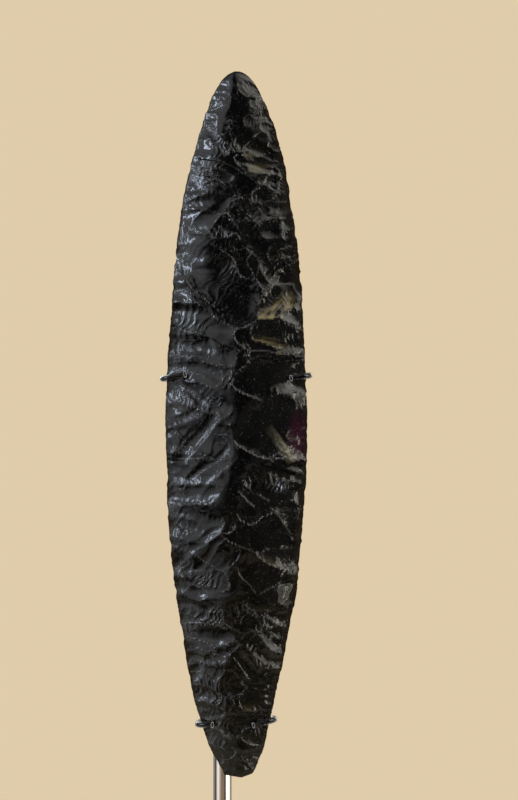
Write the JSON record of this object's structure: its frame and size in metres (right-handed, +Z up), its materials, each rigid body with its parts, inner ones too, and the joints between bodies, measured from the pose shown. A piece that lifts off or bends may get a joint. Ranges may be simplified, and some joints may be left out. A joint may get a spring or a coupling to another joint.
{
  "type": "obsidian knife blade",
  "caption": "Long leaf-shaped obsidian blade flaked on both faces, held upright by a steel rod and bent wire clips with clear tubes on a flat foot.",
  "frame": {"origin": "centre of the foot's underside", "axes": "+Z up along the blade to its tip, -Y out of the blade's front face, +X to the right seen from the front"},
  "size_m": [0.11, 0.08, 0.355],
  "materials": {
    "obsidian": "gloss",
    "polished_rod": "polished",
    "foot_steel": "satin",
    "clip_wire": "satin",
    "clear_tube": "gloss"
  },
  "bodies": {
    "root": {"blade": "obsidian", "post": "polished_rod", "foot": "foot_steel", "upper_clip": "clip_wire", "lower_clip": "clip_wire", "upper_left_sleeve": "clear_tube", "upper_right_sleeve": "clear_tube", "lower_left_sleeve": "clear_tube", "lower_right_sleeve": "clear_tube"}
  },
  "joints": []
}
